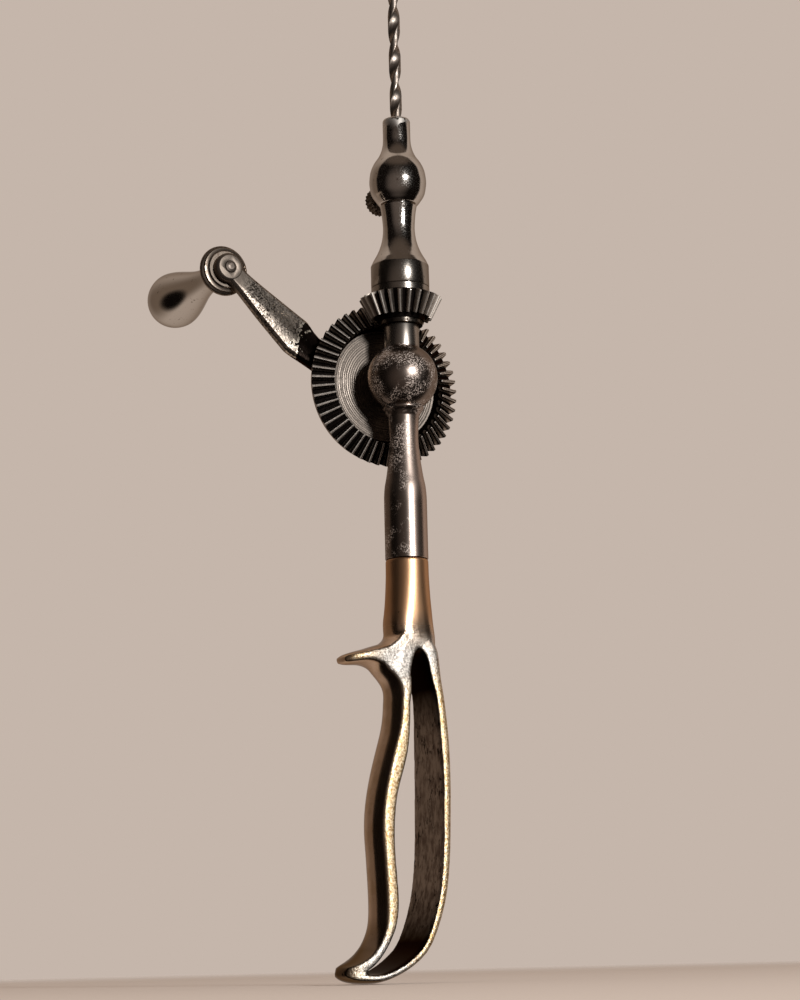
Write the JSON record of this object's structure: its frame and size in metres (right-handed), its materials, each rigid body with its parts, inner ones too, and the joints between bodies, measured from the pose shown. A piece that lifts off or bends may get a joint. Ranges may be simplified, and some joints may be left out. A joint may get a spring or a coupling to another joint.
{
  "type": "surgical hand drill",
  "caption": "Hand-cranked bone drill with a skeleton loop handle, finger hook, bevel gear drive, set-screw chuck and twist bit.",
  "frame": {"origin": "on the spindle axis, in the middle of the grip", "axes": "+Z along the spindle towards the bit's tip, +Y along the crank's axle towards the gear and crank, +X towards the back of the handle"},
  "size_m": [0.0854, 0.0804, 0.3119],
  "materials": {
    "worn_nickel_brass": "nickel plate worn through to brass",
    "blackened_steel": "blackened, worn and speckled",
    "brass": "satin brass",
    "bronze": "turned bronze",
    "bright_steel": "ground",
    "dark_steel": "dark oxide",
    "gear_steel": "cut teeth, dark roots",
    "nickel_plate": "polished nickel",
    "pitted_nickel": "pitted nickel plate",
    "bit_steel": "ground tool steel"
  },
  "bodies": {
    "frame": {"handle": "worn_nickel_brass", "frame_stem": "blackened_steel", "tang_pin": "brass", "spindle_bush": "bronze", "thrust_pad": "bright_steel", "spindle_screw": "dark_steel", "axle_stud": "bright_steel", "axle_washer": "bright_steel", "axle_screw": "dark_steel"},
    "spindle": {"spindle": "bright_steel", "pinion": "gear_steel", "pinion_pin": "dark_steel", "thrust_washer": "bright_steel", "chuck_body": "nickel_plate", "chuck_nose": "nickel_plate", "drill_bit": "bit_steel"},
    "thumbscrew": {"thumbscrew": "dark_steel"},
    "crank": {"drive_gear": "gear_steel", "gear_bush": "bronze", "crank_arm": "pitted_nickel", "arm_screw_inner": "dark_steel", "arm_screw_outer": "dark_steel", "knob_pin": "pitted_nickel"},
    "knob": {"knob_flange": "brass", "knob": "nickel_plate"}
  },
  "joints": [
    {"name": "crank_turn", "type": "hinge", "parent": "frame", "child": "crank", "pos_m": [0, 0.015, 0.131], "axis": [0, 1, 0], "continuous": true},
    {"name": "spindle_turn", "type": "hinge", "parent": "frame", "child": "spindle", "pos_m": [0, 0, 0.151], "axis": [0, 0, 1], "continuous": true},
    {"name": "knob_spin", "type": "hinge", "parent": "crank", "child": "knob", "pos_m": [-0.05045, 0.04, 0.16529], "axis": [0, 1, 0], "continuous": true},
    {"name": "thumbscrew_turn", "type": "hinge", "parent": "spindle", "child": "thumbscrew", "pos_m": [0, 0.009, 0.1917], "axis": [0, 1, 0], "range_deg": [-180, 180]}
  ],
  "couplings": [
    {"joint": "spindle_turn", "follows": "crank_turn", "ratio": -2.125}
  ]
}
